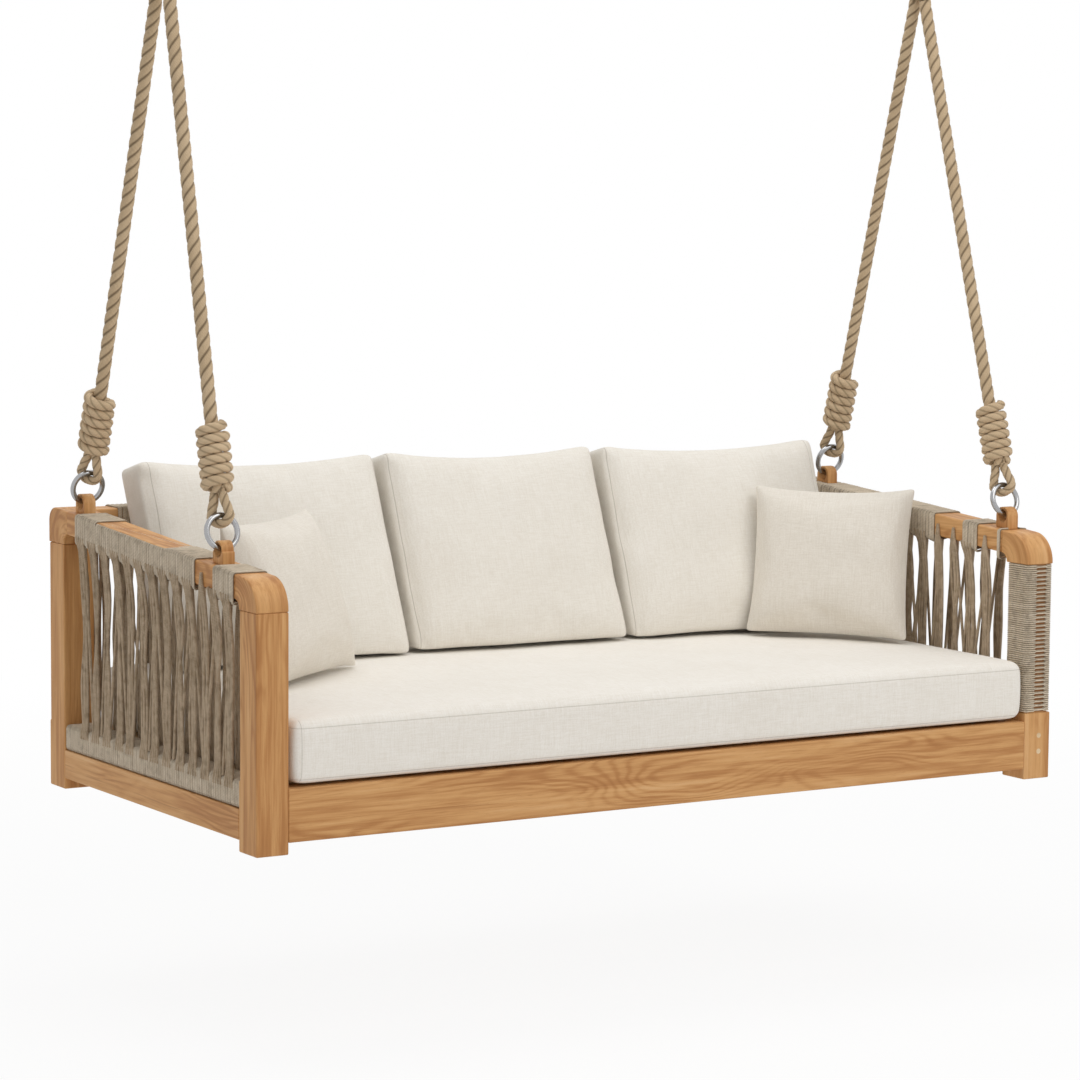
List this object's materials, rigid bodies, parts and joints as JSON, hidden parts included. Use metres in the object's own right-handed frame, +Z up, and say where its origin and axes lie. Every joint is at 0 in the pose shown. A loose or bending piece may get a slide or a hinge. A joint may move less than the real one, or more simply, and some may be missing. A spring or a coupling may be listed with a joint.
{
  "type": "hanging swing bed",
  "caption": "Wooden day-bed frame with cord-wrapped arms and sides, hung at each end from the ceiling on a rope through steel rings, with a seat cushion, back cushions and pillows.",
  "frame": {"origin": "on the ceiling plane, midway between the two ceiling plates", "axes": "+Z up out of the ceiling side of the plates, -Y towards the bed's open front, +X towards the right arm as seen from the front"},
  "size_m": [2.012, 1.0092, 2.07],
  "materials": {
    "wood": "oiled teak, satin",
    "pale_wood": "bare, matt",
    "cord": "matt, slightly fuzzy",
    "rope": "matt, fibrous",
    "steel": "polished",
    "brass": "machined",
    "linen": "woven, matt"
  },
  "bodies": {
    "ceiling_mount": {"ceiling_plate_left": "steel", "ceiling_plate_right": "steel", "pivot_pins": "steel", "pivot_nuts": "steel"},
    "left_hanger": {"hanger_left": "steel", "pivot_bush_left": "brass"},
    "right_hanger": {"hanger_right": "steel", "pivot_bush_right": "brass"},
    "left_ropes": {"top_ring_left": "steel", "rope_left": "rope", "top_lashing_left": "rope", "knot_left_front": "rope", "knot_left_back": "rope", "ring_left_front": "steel", "ring_left_back": "steel"},
    "right_ropes": {"top_ring_right": "steel", "rope_right": "rope", "top_lashing_right": "rope", "knot_right_front": "rope", "knot_right_back": "rope", "ring_right_front": "steel", "ring_right_back": "steel"},
    "bed": {"lug_left_front": "wood", "lug_left_back": "wood", "lug_right_front": "wood", "lug_right_back": "wood", "lug_bolts": "steel", "post_left_front": "wood", "post_left_back": "wood", "post_right_front": "wood", "post_right_back": "wood", "corner_block_left_front": "wood", "corner_block_left_back": "wood", "corner_block_right_front": "wood", "corner_block_right_back": "wood", "arm_rail_left": "wood", "arm_rail_right": "wood", "back_top_rail": "wood", "cord_rail_left": "wood", "cord_rail_right": "wood", "cord_rail_back": "wood", "side_apron_left": "wood", "side_apron_right": "wood", "front_rail": "wood", "back_rail": "wood", "middle_beam": "pale_wood", "ledgers": "pale_wood", "slats": "pale_wood", "dowels_and_plugs": "pale_wood", "cord_wraps": "cord", "cord_panel_left": "cord", "cord_panel_right": "cord", "cord_panel_back": "cord", "post_winding": "cord", "seat_cushion": "linen", "back_cushion_left": "linen", "back_cushion_middle": "linen", "back_cushion_right": "linen", "pillow_left": "linen", "pillow_right": "linen"}
  },
  "joints": [
    {"name": "swing", "type": "hinge", "parent": "ceiling_mount", "child": "left_hanger", "pos_m": [-0.966, 0, -0.06], "axis": [1, 0, 0], "range_deg": [-15, 15]},
    {"name": "right_swing", "type": "hinge", "parent": "ceiling_mount", "child": "right_hanger", "pos_m": [0.966, 0, -0.06], "axis": [1, 0, 0], "range_deg": [-15, 15]},
    {"name": "sway", "type": "hinge", "parent": "left_hanger", "child": "left_ropes", "pos_m": [-0.966, 0, -0.14733], "axis": [0, 1, 0], "range_deg": [-6, 6]},
    {"name": "right_sway", "type": "hinge", "parent": "right_hanger", "child": "right_ropes", "pos_m": [0.966, 0, -0.14733], "axis": [0, 1, 0], "range_deg": [-6, 6]},
    {"name": "bed_level", "type": "hinge", "parent": "left_ropes", "child": "bed", "pos_m": [-0.966, 0, -1.4269], "axis": [0, 1, 0], "range_deg": [-6, 6]}
  ],
  "couplings": [
    {"joint": "right_swing", "follows": "swing", "ratio": 1},
    {"joint": "right_sway", "follows": "sway", "ratio": 1},
    {"joint": "bed_level", "follows": "sway", "ratio": -1}
  ]
}
